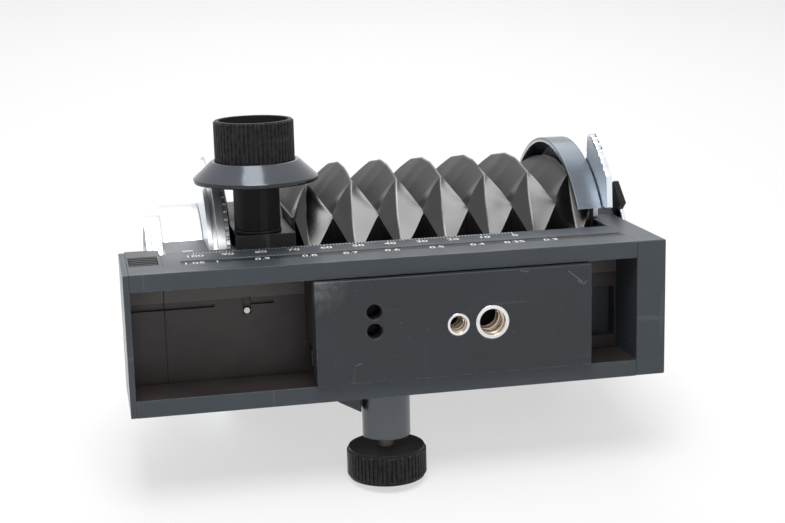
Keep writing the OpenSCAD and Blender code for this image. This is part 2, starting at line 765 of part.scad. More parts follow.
module camera_base() {
    cradle_r = mount_r + 0.5;
    round_r = 3;
    color("#3c3c3e") from_rear() difference() {
        union() {
            block([base_x + round_r, -side_y, deck_z], [base_front, side_y, rail_top + base_rise]);
            block([base_x, -side_y, deck_z], [base_front, side_y, rail_top + base_rise - round_r]);
            along_y(-side_y, side_y, round_r, base_x + round_r, rail_top + base_rise - round_r);
        }
        along_x(base_x - 1, ring_x, cradle_r);
        // the ring and the collar's flange stand on the base's floor
        difference() {
            union() {
                along_x(ring_x, ring_front, ring_r);
                along_x(ring_front - eps, base_front + 1, collar_flange_r);
            }
            block([base_x, -side_y - 1, 0], [base_front + 2, side_y + 1, seat_z]);
        }
        // clear of the rack
        block([base_x - 1, -rack_y - rack_w / 2 - 0.4, rail_top - 1],
            [base_front + 1, -rack_y + rack_w / 2 + 0.4, focus_pitch_z + focus_m + 0.3]);
        translate([base_x + 8, 12, rail_top - 1]) cylinder(h = 4, r = pad_r);
    }
}

pad_r = 2.5;
pad_gap = 0.03;
module drag_pad() {
    color("#d9d6c8") from_rear() translate([base_x + 8, 12, rail_top + pad_gap])
        cylinder(h = 3 - pad_gap, r = pad_r);
}

module guide_keel() {
    x0 = base_x + 2;
    x1 = block_end - 0.7;
    foot_z = rail_top - lip_t - guide_gap;
    color("#6f6e6a") from_rear() {
        block([x0, -slot_w / 2 + guide_gap, foot_z - eps], [x1, slot_w / 2 - guide_gap, deck_z]);
        block([x0, -under_w / 2 + guide_gap, rail_top - lip_t - under_h + guide_gap],
            [x1, under_w / 2 - guide_gap, foot_z]);
    }
}

block_y = side_y + block_out;
block_in = -2.6;
chamber_r = focus_pitch_r + focus_m + 0.4;
bearing_r = focus_shaft_r + 2;

module pinion_block() {
    z1 = rail_top + block_rise;
    color("#1e1f22") from_rear() difference() {
        union() {
            block([base_front, -block_y, deck_z], [block_end, block_in, z1]);
            block([base_front, -block_y, rail_top - 0.8], [block_end, -side_y - 0.15, deck_z + 1]);
            block([base_front, block_in - eps, deck_z], [block_end, side_y - 3, deck_z + 6]);
        }
        along_x(base_front - 1, block_end + 1, collar_r + 0.1);
        // chamber of the pinion, open to the rack below
        along_y(-rack_y - rack_w / 2 - 0.3, -rack_y + rack_w / 2 + 0.3, chamber_r, focus_x, focus_z);
        block([base_front - 1, -rack_y - rack_w / 2 - 0.4, rail_top - 1],
            [block_end + 1, -rack_y + rack_w / 2 + 0.4, focus_pitch_z + focus_m + 0.3]);
        along_y(-block_y - 1, -rack_y - rack_w / 2, bearing_r, focus_x, focus_z);
        along_y(-rack_y, block_in + 1, focus_shaft_r + run_fit, focus_x, focus_z);
    }
}

module focus_bearing() {
    color("#b08d4a") from_rear()
        along_y(-block_y, -rack_y - rack_w / 2 - 0.3, bearing_r, focus_x, focus_z,
            focus_shaft_r + run_fit);
}

module rear_ring() {
    edge = 1.2;
    groove = 1.2;
    bore = journal_r + run_fit;
    color("#d2d4d6") from_rear() difference() {
        union() {
            turned_x([[bore, ring_x], [ring_r, ring_x], [ring_r, ring_x + 1.5],
                [ring_r - groove, ring_x + 1.5], [ring_r - groove, ring_x + 2.9],
                [ring_r, ring_x + 2.9], [ring_r, ring_front - edge], [bore, ring_front - edge]]);
            // serrated edge
            plate_x(ring_front - edge - 1, ring_front) translate([axis_y, axis_z]) difference() {
                fluted(ring_r - 0.12, 0.4, 90);
                circle(r = bore);
            }
        }
        block([ring_x - 1, -2 * ring_r, 0], [ring_front + 1, 2 * ring_r, seat_z]);
    }
}

module rear_collar() {
    x1 = bellows_rear - frame_t;
    color("#303338") from_rear() difference() {
        union() {
            along_x(ring_front, ring_front + collar_flange_t, collar_flange_r);
            along_x(ring_front, x1, collar_r);
        }
        along_x(ring_front - 1, ring_front + retainer_t + 0.4, retainer_r + 0.2);
        along_x(ring_front, x1 + 1, collar_bore_r);
        block([ring_front - 1, -2 * collar_flange_r, 0], [base_front, 2 * collar_flange_r, seat_z]);
    }
}

retainer_r = journal_r + 1;
retainer_t = 1.6;

module camera_mount() {
    face_x = base_x + 0.5;
    back_x = face_x - bayonet_len;
    lugs = 3;
    lug = 1.5;
    color("#d2d4d6") from_rear() {
        turned_x([[mount_bore_r, back_x], [bayonet_r, back_x], [bayonet_r, face_x], [mount_r, face_x],
            [mount_r, ring_x - 0.1], [journal_r, ring_x - 0.1], [journal_r, ring_front + 0.1],
            [mount_bore_r, ring_front + 0.1]]);
        for (k = [0:lugs - 1])
            sector_x(back_x, back_x + lug, bayonet_r - 1, bayonet_r + lug, 360 / lugs * k + 100, 24);
    }
}

module mount_retainer() {
    color("#a9a9a6") from_rear()
        along_x(ring_front + 0.1, ring_front + 0.1 + retainer_t, retainer_r, mount_bore_r);
}

// the rotation lock's pivot lies high on the ring's rear face
rot_r = 34.5;
rot_a = 60;
rot_pin_r = 1.5;
rot_hub_r = 3.8;
rot_t = 2.4;
rot_gap = 0.15;
rot_y = axis_y + rot_r * cos(rot_a);
rot_z = axis_z + rot_r * sin(rot_a);

module rotation_lever_pin() {
    color("#b9bbbd") from_rear() along_x(ring_x - rot_t - 0.4, ring_x, rot_pin_r, 0, rot_y, rot_z);
}

module rotation_lever() {
    x1 = ring_x - rot_gap;
    x0 = x1 - rot_t;
    color("#c9ccd0") from_rear() difference() {
        union() {
            along_x(x0, x1, rot_hub_r, 0, rot_y, rot_z);
            plate_x(x0, x1) translate([rot_y, rot_z]) rotate(rot_a)
                polygon([[0, -3.2], [0, 3.2], [9, 5.5], [12.5, 3], [12.5, -1.5]]);
        }
        along_x(x0 - 1, x1 + 1, rot_pin_r + run_fit, 0, rot_y, rot_z);
    }
}

// ---- focus knob ----
skirt_y = -block_y - neck_len;
module focus_shaft() {
    color("#a7a9ab") from_rear()
        along_y(skirt_y - 6, block_in, focus_shaft_r, focus_x, focus_z);
}

module focus_pinion() {
    color("#b59a5a") from_rear() difference() {
        translate([focus_x, -rack_y + gear_w / 2, focus_z]) rotate([90, 0, 0])
            linear_extrude(gear_w) gear(focus_m, focus_teeth);
        along_y(-rack_y - rack_w, -rack_y + rack_w, focus_shaft_r, focus_x, focus_z);
    }
}

washer_t = 0.8;
washer_y = -block_y - 0.2;
module knob_washer() {
    color("#0c0c0d") from_rear()
        along_y(washer_y - washer_t, washer_y, neck_r + 0.25, focus_x, focus_z, focus_shaft_r);
}

module knob_neck() {
    color("#262527") from_rear()
        along_y(skirt_y, washer_y - washer_t, neck_r, focus_x, focus_z, focus_shaft_r);
}

module knob_skirt() {
    y1 = skirt_y - skirt_rim;
    color("#2c2f33") from_rear() difference() {
        union() {
            along_y(y1, skirt_y, skirt_r, focus_x, focus_z);
            translate([focus_x, y1, focus_z]) rotate([90, 0, 0])
                cylinder(h = skirt_cone, r1 = skirt_r, r2 = skirt_top_r);
        }
        along_y(y1 - skirt_cone - 1, skirt_y + 1, focus_shaft_r, focus_x, focus_z);
        along_y(y1 - skirt_cone - 1, y1 - skirt_cone + 1.2, grip_r + 0.15, focus_x, focus_z);
    }
}

module knob_grip() {
    y1 = skirt_y - skirt_rim - skirt_cone + 1.2;
    y0 = y1 - 1.2 - grip_len;
    color("#1f1d1f") from_rear() difference() {
        union() {
            translate([focus_x, y1 - 1.2, focus_z]) rotate([90, 0, 0])
                linear_extrude(grip_len - 0.4) fluted(grip_r, 0.45, flutes);
            along_y(y0, y1, grip_r - 0.45, focus_x, focus_z);
        }
        along_y(y0 - 1, y0 + grip_recess, grip_r - grip_wall, focus_x, focus_z);
        along_y(skirt_y - 6, y1 + 1, focus_shaft_r, focus_x, focus_z);
    }
}

tripod_plate();
thread_bush_small();
thread_bush_large();
slide_block();
slide_rack();
rail_body();
rear_end_cap();
rear_end_block();
catch_button();
catch_spring();
stop_pin();
focus_rack();
drive_bush();
drive_lug();
drive_shaft();
drive_pinion();
drive_knob();
front_standard();
front_hood();
lens_lock_plate();
lens_mount();
lens_release_lever();
release_lever_pin();
bellows_front_frame();
bellows();
bellows_rear_frame();
camera_base();
guide_keel();
pinion_block();
drag_pad();
focus_bearing();
rear_ring();
rear_collar();
camera_mount();
mount_retainer();
rotation_lever();
rotation_lever_pin();
focus_shaft();
focus_pinion();
knob_neck();
knob_washer();
knob_skirt();
knob_grip();
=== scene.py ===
import json
import math
import bpy
from mathutils import Matrix, Vector, noise

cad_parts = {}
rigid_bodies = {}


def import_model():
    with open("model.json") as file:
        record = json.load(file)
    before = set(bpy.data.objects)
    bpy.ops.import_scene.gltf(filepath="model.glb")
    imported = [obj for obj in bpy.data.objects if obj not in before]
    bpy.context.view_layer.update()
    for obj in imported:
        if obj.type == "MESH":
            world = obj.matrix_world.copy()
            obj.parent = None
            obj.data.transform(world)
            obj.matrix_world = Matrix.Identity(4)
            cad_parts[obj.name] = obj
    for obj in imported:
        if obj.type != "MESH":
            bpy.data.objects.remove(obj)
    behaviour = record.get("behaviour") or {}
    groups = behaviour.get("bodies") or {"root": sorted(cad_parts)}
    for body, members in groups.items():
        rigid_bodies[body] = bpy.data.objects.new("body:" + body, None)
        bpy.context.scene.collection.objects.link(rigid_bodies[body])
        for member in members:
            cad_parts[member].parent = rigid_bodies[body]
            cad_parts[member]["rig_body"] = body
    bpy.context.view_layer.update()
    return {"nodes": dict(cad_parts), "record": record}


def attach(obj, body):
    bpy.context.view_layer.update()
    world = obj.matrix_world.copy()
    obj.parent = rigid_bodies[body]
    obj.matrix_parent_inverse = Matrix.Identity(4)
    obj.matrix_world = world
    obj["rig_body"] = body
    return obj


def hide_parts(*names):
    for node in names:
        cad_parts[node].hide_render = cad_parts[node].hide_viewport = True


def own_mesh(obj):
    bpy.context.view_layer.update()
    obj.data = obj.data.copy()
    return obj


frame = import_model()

# the macro bellows unit lies on its far side, seen from its tripod face
# X runs along the rail, -Y is up in the photograph, and the tripod face is at Z 0

slotOf = {row["node"]: row["material_slot"] for row in frame["record"]["subparts"]}
bodyOf = {node: frame["nodes"][node]["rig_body"] for node in frame["nodes"]}
railRear = -0.108  # X of the rail's rear end
weldDistance = 0.0000002
scene = bpy.context.scene
scene.view_settings.view_transform = "Standard"


def mm(value):
    return value / 1000


def alongRail(x):
    return railRear + x / 1000


def tone(red, green, blue):
    # colours are given as they look on a screen, 0 to 255
    parts = []
    for value in (red, green, blue):
        v = value / 255
        parts.append(v / 12.92 if v <= 0.04045 else ((v + 0.055) / 1.055) ** 2.4)
    return (*parts, 1)


def shade(color, factor):
    return (*[min(1.0, c * factor) for c in color[:3]], 1)


def pick(obj):
    bpy.ops.object.select_all(action="DESELECT")
    obj.select_set(True)
    bpy.context.view_layer.objects.active = obj


def applyModifiers(obj):
    pick(obj)
    for modifier in list(obj.modifiers):
        bpy.ops.object.modifier_apply(modifier=modifier.name)


def settle(obj):
    pick(obj)
    bpy.ops.object.transform_apply(location=True, rotation=True, scale=True)


def startMeshEdit(obj):
    pick(obj)
    bpy.ops.object.mode_set(mode="EDIT")
    bpy.ops.mesh.select_all(action="SELECT")


def endMeshEdit():
    bpy.ops.object.mode_set(mode="OBJECT")


def weld(obj):
    startMeshEdit(obj)
    bpy.ops.mesh.remove_doubles(threshold=weldDistance)
    bpy.ops.mesh.normals_make_consistent(inside=False)
    endMeshEdit()


# small helpers for shader nodes
def mathNode(nodes, links, operation, first, second=None, clamp=False):
    node = nodes.new("ShaderNodeMath")
    node.operation = operation
    node.use_clamp = clamp
    for socket, value in zip(node.inputs, (first, second)):
        if value is None:
            continue
        if isinstance(value, (int, float)):
            socket.default_value = value
        else:
            links.new(value, socket)
    return node.outputs[0]


def rangeNode(nodes, links, value, fromLow, fromHigh, toLow=0.0, toHigh=1.0):
    node = nodes.new("ShaderNodeMapRange")
    limits = {"From Min": fromLow, "From Max": fromHigh, "To Min": toLow, "To Max": toHigh}
    for label, number in limits.items():
        node.inputs[label].default_value = number
    links.new(value, node.inputs["Value"])
    return node.outputs[0]


def noiseNode(nodes, links, place, scale, detail, rough=0.5):
    node = nodes.new("ShaderNodeTexNoise")
    node.inputs["Detail"].default_value = detail
    node.inputs["Roughness"].default_value = rough
    links.new(place, node.inputs["Vector"])
    links.new(scale, node.inputs["Scale"])
    return node.outputs["Fac"]


def mixColor(nodes, links, mask, first, second):
    mix = nodes.new("ShaderNodeMix")
    mix.data_type = "RGBA"
    links.new(mask, mix.inputs["Factor"])
    sockets = [s for s in mix.inputs if s.type == "RGBA"]
    for socket, value in zip(sockets, (first, second)):
        if isinstance(value, tuple):
            socket.default_value = value
        else:
            links.new(value, socket)
    return [s for s in mix.outputs if s.type == "RGBA"][0]


def objectPlace(nodes):
    return nodes.new("ShaderNodeTexCoord").outputs["Object"]


def objectAxes(nodes, links):
    axes = nodes.new("ShaderNodeSeparateXYZ")
    links.new(objectPlace(nodes), axes.inputs[0])
    return axes.outputs


def between(nodes, links, value, low, high):
    above = mathNode(nodes, links, "GREATER_THAN", value, low)
    below = mathNode(nodes, links, "LESS_THAN", value, high)
    return mathNode(nodes, links, "MULTIPLY", above, below)


def nodesOf(material):
    nodes, links = material.node_tree.nodes, material.node_tree.links
    return nodes, links, nodes["Principled BSDF"]


print("camera, floor and lamps")
cameraView = {
    "eye": (-0.11848, -0.11192, -0.41987),
    "right": (0.97727514, 0.02383723, -0.21063023),
    "down": (-0.06668193, 0.97778276, -0.19873197),
    "forward": (0.20121339, 0.20826104, 0.95715229),
    "lens": 68.87,
    "sensor": 36,
    "clip": (0.01, 50),
}


def addCamera():
    bpy.ops.object.camera_add()
    camera = bpy.context.active_object
    camera.name = "photoCamera"
    right, down, forward = (Vector(cameraView[k]) for k in ("right", "down", "forward"))
    turn = Matrix((right, -down, -forward)).transposed().to_4x4()
    camera.matrix_world = Matrix.Translation(cameraView["eye"]) @ turn
    camera.data.lens = cameraView["lens"]
    camera.data.sensor_width = cameraView["sensor"]
    camera.data.sensor_fit = "HORIZONTAL"
    camera.data.clip_start, camera.data.clip_end = cameraView["clip"]
    scene.camera = camera


floorLook = {"color": 0.95, "glow": 0.60}


# only the camera sees it, and only from above, so it neither lights nor hides the part
def floorMaterial():
    material = bpy.data.materials.new("paleFloor")
    material.use_nodes = True
    nodes, links = material.node_tree.nodes, material.node_tree.links
    nodes.clear()
    output = nodes.new("ShaderNodeOutputMaterial")
    paint = nodes.new("ShaderNodeBsdfDiffuse")
    paint.inputs["Color"].default_value = (floorLook["color"],) * 3 + (1,)
    glow = nodes.new("ShaderNodeEmission")
    clear = nodes.new("ShaderNodeBsdfTransparent")
    surface = nodes.new("ShaderNodeMixShader")
    surface.inputs["Fac"].default_value = floorLook["glow"]
    links.new(paint.outputs[0], surface.inputs[1])
    links.new(glow.outputs[0], surface.inputs[2])
    path = nodes.new("ShaderNodeLightPath")
    side = nodes.new("ShaderNodeNewGeometry")
    front = mathNode(nodes, links, "SUBTRACT", path.outputs["Is Camera Ray"],
                     side.outputs["Backfacing"], clamp=True)
    seen = nodes.new("ShaderNodeMixShader")
    links.new(front, seen.inputs["Fac"])
    links.new(clear.outputs[0], seen.inputs[1])
    links.new(surface.outputs[0], seen.inputs[2])
    links.new(seen.outputs[0], output.inputs["Surface"])
    return material


floors = {
    "size": 8,
    "restY": 0.0527,   # where the far-side floor meets the plane of the tripod face
    "restTilt": 10.8,  # how far that floor leans under the knob and the hood
    "standZ": -0.0004,
}


def addFloor(name, tilt, place, material):
    bpy.ops.mesh.primitive_plane_add(size=floors["size"])
    floor = bpy.context.active_object
    floor.name = name
    floor.rotation_euler = (math.radians(tilt), 0, 0)
    floor.location = place
    floor.data.materials.append(material)
    settle(floor)


lamps = [
    {"name": "keyPanel", "at": (-0.085, -0.57, -0.265), "size": 0.31, "watts": 2.5},
    {"name": "upperPanel", "at": (0.06, -0.52, 0.42), "size": 0.45, "watts": 1.3},
    {"name": "topStrip", "at": (-0.10, -0.64, 0.0), "size": 0.24, "watts": 0.6},
    {"name": "backPanel", "at": (-0.10, 0.30, 0.66), "size": 0.50, "watts": 1.3},
]
lampTarget = Vector((-0.02, -0.005, 0.045))


def addLamps():
    for lamp in lamps:
        bpy.ops.object.light_add(type="AREA", location=lamp["at"])
        obj = bpy.context.active_object
        obj.name = lamp["name"]
        obj.data.shape = "SQUARE"
        obj.data.size = lamp["size"]
        obj.data.energy = lamp["watts"]
        obj.visible_camera = False
        obj.rotation_mode = "QUATERNION"
        aim = lampTarget - Vector(lamp["at"])
        obj.rotation_quaternion = aim.to_track_quat("-Z", "Y")


worldLook = {"seen": 1.0, "light": 0.42}  # as the camera and mirrors see it, and as it lights


def addWorld():
    world = bpy.data.worlds.new("studio")
    scene.world = world
    world.use_nodes = True
    nodes, links = world.node_tree.nodes, world.node_tree.links
    nodes.clear()
    output = nodes.new("ShaderNodeOutputWorld")
    background = nodes.new("ShaderNodeBackground")
    path = nodes.new("ShaderNodeLightPath")
    seen = mathNode(nodes, links, "MAXIMUM",
                    path.outputs["Is Camera Ray"], path.outputs["Is Glossy Ray"])
    seen = mathNode(nodes, links, "MAXIMUM", seen, path.outputs["Is Transmission Ray"])
    strength = rangeNode(nodes, links, seen, 0, 1, worldLook["light"], worldLook["seen"])
    links.new(strength, background.inputs["Strength"])
    background.inputs["Color"].default_value = (1, 1, 1, 1)
    links.new(background.outputs[0], output.inputs["Surface"])


addCamera()
floorPaint = floorMaterial()
addFloor("farSideFloor", 90 + floors["restTilt"], (0, floors["restY"], 0), floorPaint)
addFloor("standingFloor", 0, (0, 0, floors["standZ"]), floorPaint)
addLamps()
addWorld()

print("shared effects")


def newGroup(name, inputs, outputs):
    group = bpy.data.node_groups.new(name, "ShaderNodeTree")
    for label, value in inputs.items():
        socket = group.interface.new_socket(label, in_out="INPUT", socket_type="NodeSocketFloat")
        socket.default_value = value
    for label in outputs:
        group.interface.new_socket(label, in_out="OUTPUT", socket_type="NodeSocketFloat")
    nodes, links = group.nodes, group.links
    return group, nodes, links, nodes.new("NodeGroupInput"), nodes.new("NodeGroupOutput")


grainShape = {"fineDetail": 3, "fineRough": 0.6, "broadDetail": 4, "darkAt": 0.32, "paleAt": 0.68}


def makeGrain():
    shape = grainShape
    group, nodes, links, enter, leave = newGroup(
        "grain", {"Cells per metre": 900.0, "Patches per metre": 40.0}, ["Height", "Tone"])
    place = objectPlace(nodes)
    fine = noiseNode(nodes, links, place, enter.outputs["Cells per metre"],
                     shape["fineDetail"], shape["fineRough"])
    broad = noiseNode(nodes, links, place, enter.outputs["Patches per metre"],
                      shape["broadDetail"])
    links.new(fine, leave.inputs["Height"])
    links.new(rangeNode(nodes, links, broad, shape["darkAt"], shape["paleAt"]),
              leave.inputs["Tone"])
    return group


# an edge is where the rounded normal turns away from the face's own
wearShape = {"samples": 4, "edgeFrom": 0.995, "edgeTo": 0.90,
             "detail": 4, "breakFrom": 0.42, "breakTo": 0.60}


def makeWear():
    shape = wearShape
    group, nodes, links, enter, leave = newGroup(
        "edgeWear", {"Reach": 0.0004, "Breaks per metre": 700.0, "Amount": 0.5}, ["Mask"])
    soft = nodes.new("ShaderNodeBevel")
    soft.samples = shape["samples"]
    links.new(enter.outputs["Reach"], soft.inputs["Radius"])
    flat = nodes.new("ShaderNodeNewGeometry")
    dot = nodes.new("ShaderNodeVectorMath")
    dot.operation = "DOT_PRODUCT"
    links.new(soft.outputs[0], dot.inputs[0])
    links.new(flat.outputs["Normal"], dot.inputs[1])
    edge = rangeNode(nodes, links, dot.outputs["Value"], shape["edgeFrom"], shape["edgeTo"])
    breaks = noiseNode(nodes, links, objectPlace(nodes), enter.outputs["Breaks per metre"],
                       shape["detail"])
    limit = rangeNode(nodes, links, breaks, shape["breakFrom"], shape["breakTo"])
    both = mathNode(nodes, links, "MULTIPLY", edge, limit)
    links.new(mathNode(nodes, links, "MULTIPLY", both, enter.outputs["Amount"]),
              leave.inputs["Mask"])
    return group


scratchShape = {
    "lays": [(0.35, (0.05, 1, 1)), (-0.9, (1, 0.05, 1)), (1.3, (0.07, 1, 0.3))],
    "tip": 0.3, "detail": 1, "thinFrom": 0.725, "thinTo": 0.745,
}


def makeScratches():
    shape = scratchShape
    group, nodes, links, enter, leave = newGroup(
        "scratches", {"Lines per metre": 260.0, "Amount": 0.4}, ["Mask"])
    place = objectPlace(nodes)
    total = None
    for turn, stretch in shape["lays"]:
        lay = nodes.new("ShaderNodeMapping")
        lay.inputs["Rotation"].default_value = (0, turn * shape["tip"], turn)
        lay.inputs["Scale"].default_value = stretch
        links.new(place, lay.inputs["Vector"])
        lines = noiseNode(nodes, links, lay.outputs[0], enter.outputs["Lines per metre"],
                          shape["detail"])
        value = rangeNode(nodes, links, lines, shape["thinFrom"], shape["thinTo"])
        total = value if total is None else mathNode(nodes, links, "MAXIMUM", total, value)
    links.new(mathNode(nodes, links, "MULTIPLY", total, enter.outputs["Amount"]),
              leave.inputs["Mask"])
    return group


speckShape = {"edge": 0.09, "core": 0.05}  # distances from a cell's middle, in cells


def makeSpecks():
    group, nodes, links, enter, leave = newGroup(
        "specks", {"Specks per metre": 300.0, "Amount": 0.5}, ["Mask"])
    cells = nodes.new("ShaderNodeTexVoronoi")
    links.new(objectPlace(nodes), cells.inputs["Vector"])
    links.new(enter.outputs["Specks per metre"], cells.inputs["Scale"])
    small = rangeNode(nodes, links, cells.outputs["Distance"],
                      speckShape["edge"], speckShape["core"])
    links.new(mathNode(nodes, links, "MULTIPLY", small, enter.outputs["Amount"]),
              leave.inputs["Mask"])
    return group


grainGroup, wearGroup = makeGrain(), makeWear()
scratchGroup, speckGroup = makeScratches(), makeSpecks()

# what each finish looks like: colours, gloss, grain in cells per metre and its depth in mm
finishes = {
    "rail_paint": {"color": (60, 67, 74), "rough": 0.42, "grain": 2600, "depth": 0.05,
                   "spread": 0.10, "wear": 0.35, "wearAndSheen": (150, 152, 154),
                   "scratch": 0.10, "specks": 0.12},
    "black_anodised": {"color": (46, 49, 55), "rough": 0.42, "grain": 5200, "depth": 0.012,
                       "spread": 0.08, "metal": 0.2, "wear": 0.8, "wearAndSheen": (165, 166, 167),
                       "scratch": 0.06, "specks": 0.14},
    "worn_black": {"color": (48, 42, 41), "gloss": 0.3, "rough": 0.50, "grain": 2400,
                   "depth": 0.02, "spread": 0.25, "wear": 0.5, "wearAndSheen": (120, 108, 98),
                   "scratch": 0.35, "specks": 0.3},
    "plated_brass": {"color": (226, 226, 226), "rough": 0.22, "grain": 3000, "depth": 0.006,
                     "spread": 0.10, "metal": 1.0, "wear": 0.5, "wearAndSheen": (176, 140, 88),
                     "scratch": 0.25, "specks": 0.1},
    "thread_brass": {"color": (214, 196, 176), "rough": 0.25, "grain": 3000, "depth": 0.006,
                     "spread": 0.2, "metal": 1.0, "wear": 0.3, "wearAndSheen": (220, 206, 184),
                     "scratch": 0.1, "specks": 0.1},
    "pinion_brass": {"color": (196, 158, 88), "rough": 0.30, "grain": 2800, "depth": 0.008,
                     "spread": 0.15, "metal": 1.0, "wear": 0.4, "wearAndSheen": (232, 206, 140),
                     "scratch": 0.2, "specks": 0.2},
    "rack_steel": {"color": (148, 143, 134), "rough": 0.34, "grain": 2800, "depth": 0.01,
                   "spread": 0.15, "metal": 1.0, "wear": 0.5, "wearAndSheen": (205, 204, 200),
                   "scratch": 0.3, "specks": 0.3},
    "spring_steel": {"color": (190, 189, 184), "rough": 0.28, "grain": 2500, "depth": 0.006,
                     "spread": 0.1, "metal": 1.0, "wear": 0.3, "wearAndSheen": (226, 226, 224),
                     "scratch": 0.3, "specks": 0.1},
    "grey_satin": {"color": (92, 95, 99), "rough": 0.36, "grain": 4200, "depth": 0.01,
                   "spread": 0.1, "metal": 0.7, "wear": 0.6, "wearAndSheen": (190, 191, 192),
                   "scratch": 0.25, "specks": 0.15},
    "dark_plastic": {"color": (25, 26, 28), "gloss": 0.15, "rough": 0.45, "grain": 3600,
                     "depth": 0.015, "spread": 0.1, "wear": 0.3, "wearAndSheen": (110, 111, 114),
                     "scratch": 0.1, "specks": 0.1},
    "drag_plastic": {"color": (222, 218, 204), "rough": 0.45, "grain": 2600, "depth": 0.01,
                     "spread": 0.06, "wear": 0.2, "wearAndSheen": (180, 174, 158),
                     "scratch": 0.1, "specks": 0.1},
    "knob_black": {"color": (30, 29, 31), "gloss": 0.2, "rough": 0.50, "grain": 3400,
                   "depth": 0.015, "spread": 0.12, "wear": 0.6, "wearAndSheen": (112, 113, 116),
                   "scratch": 0.1, "specks": 0.15},
    "satin_black": {"color": (27, 28, 31), "gloss": 0.3, "rough": 0.36, "grain": 3800,
                    "depth": 0.012, "spread": 0.1, "wear": 0.5, "wearAndSheen": (140, 142, 146),
                    "scratch": 0.12, "specks": 0.1},
    "gloss_black": {"color": (88, 92, 98), "rough": 0.15, "grain": 4200, "depth": 0.003,
                    "spread": 0.04, "metal": 0.8, "wear": 0.5, "wearAndSheen": (150, 154, 158),
                    "scratch": 0.1, "specks": 0.1},
    "hood_satin": {"color": (96, 104, 112), "rough": 0.28, "grain": 4600, "depth": 0.008,
                   "spread": 0.06, "metal": 0.8, "wear": 0.5, "wearAndSheen": (170, 174, 178),
                   "scratch": 0.1, "specks": 0.1},
    "satin_chrome": {"color": (232, 237, 243), "rough": 0.30, "grain": 5200, "depth": 0.006,
                     "spread": 0.06, "metal": 1.0, "wear": 0.4, "wearAndSheen": (236, 238, 240),
                     "scratch": 0.15, "specks": 0.1},
    "bright_chrome": {"color": (232, 235, 238), "rough": 0.24, "grain": 5200, "depth": 0.003,
                      "spread": 0.04, "metal": 1.0, "wear": 0.3, "wearAndSheen": (244, 245, 246),
                      "scratch": 0.1, "specks": 0.05},
    "ring_satin": {"color": (226, 229, 233), "rough": 0.48, "grain": 5200, "depth": 0.003,
                   "spread": 0.04, "metal": 1.0, "wear": 0.3, "wearAndSheen": (244, 245, 246),
                   "scratch": 0.1, "specks": 0.05},
    "scratch_pale": {"color": (150, 152, 154), "rough": 0.5, "grain": 3000, "depth": 0.004,
                     "spread": 0.3, "wear": 0.1, "wearAndSheen": (110, 110, 112),
                     "scratch": 0.1, "specks": 0.1},
    "scale_ink": {"color": (250, 250, 248), "rough": 0.55, "grain": 3000, "depth": 0.004,
                  "spread": 0.05, "wear": 0.2, "wearAndSheen": (150, 150, 148),
                  "scratch": 0.2, "specks": 0.1},
}
finishShared = {"patches": 45, "roughLow": 0.9, "roughHigh": 1.12}


def placeGroup(nodes, group, values):
    node = nodes.new("ShaderNodeGroup")
    node.node_tree = group
    for label, value in values.items():
        node.inputs[label].default_value = value
    return node


def placeGrain(nodes, cells, patches):
    values = {"Cells per metre": cells, "Patches per metre": patches}
    return placeGroup(nodes, grainGroup, values)


def makeFinish(name, look):
    material = bpy.data.materials.new(name)
    material.use_nodes = True
    nodes, links, shader = nodesOf(material)
    color = tone(*look["color"])
    grain = placeGrain(nodes, look["grain"], finishShared["patches"])
    wear = placeGroup(nodes, wearGroup, {"Amount": look["wear"]})
    scratch = placeGroup(nodes, scratchGroup, {"Amount": look["scratch"]})
    specks = placeGroup(nodes, speckGroup, {"Amount": look["specks"]})
    base = mixColor(nodes, links, grain.outputs["Tone"],
                    shade(color, 1 - look["spread"]), shade(color, 1 + look["spread"]))
    marks = mathNode(nodes, links, "MAXIMUM", scratch.outputs["Mask"], specks.outputs["Mask"])
    marks = mathNode(nodes, links, "MAXIMUM", marks, wear.outputs["Mask"])
    links.new(mixColor(nodes, links, marks, base, tone(*look["wearAndSheen"])),
              shader.inputs["Base Color"])
    rough = rangeNode(nodes, links, grain.outputs["Tone"], 0, 1,
                      look["rough"] * finishShared["roughLow"],
                      look["rough"] * finishShared["roughHigh"])
    links.new(rough, shader.inputs["Roughness"])
    shader.inputs["Metallic"].default_value = look.get("metal", 0)
    shader.inputs["Specular IOR Level"].default_value = look.get("gloss", 0.5)
    bump = nodes.new("ShaderNodeBump")
    bump.inputs["Distance"].default_value = mm(look["depth"])
    links.new(grain.outputs["Height"], bump.inputs["Height"])
    links.new(bump.outputs[0], shader.inputs["Normal"])
    return material


materials = {}
for finishName, finishLook in finishes.items():
    materials[finishName] = makeFinish(finishName, finishLook)


def repaint(material, mask, color):
    # lays another colour over a finish where the mask is 1
    nodes, links, shader = nodesOf(material)
    painted = shader.inputs["Base Color"].links[0].from_socket
    links.new(mixColor(nodes, links, mask, painted, color), shader.inputs["Base Color"])


# places in mm; the channel is the rail's inside, painted dark as shade with a paler painted lit
# band on its ledge; the groove carries the ratio numbers and its floor is painted near black as
# shade
grooveShadeLook = {"color": (20, 21, 23), "floorY": -20.9, "reach": 0.1, "low": 12.4, "high": 17.6}
channelShadeLook = {
    "color": (50, 44, 43), "darker": 0.75, "paler": 1.35, "grain": 1500, "patches": 70,
    "halfWidth": 18.25, "low": 2.3, "high": 21.5, "from": 1.9, "to": 154.2,
    "ledge": (-13.4, -8.2), "ledgeLitColor": (98, 92, 90),
}


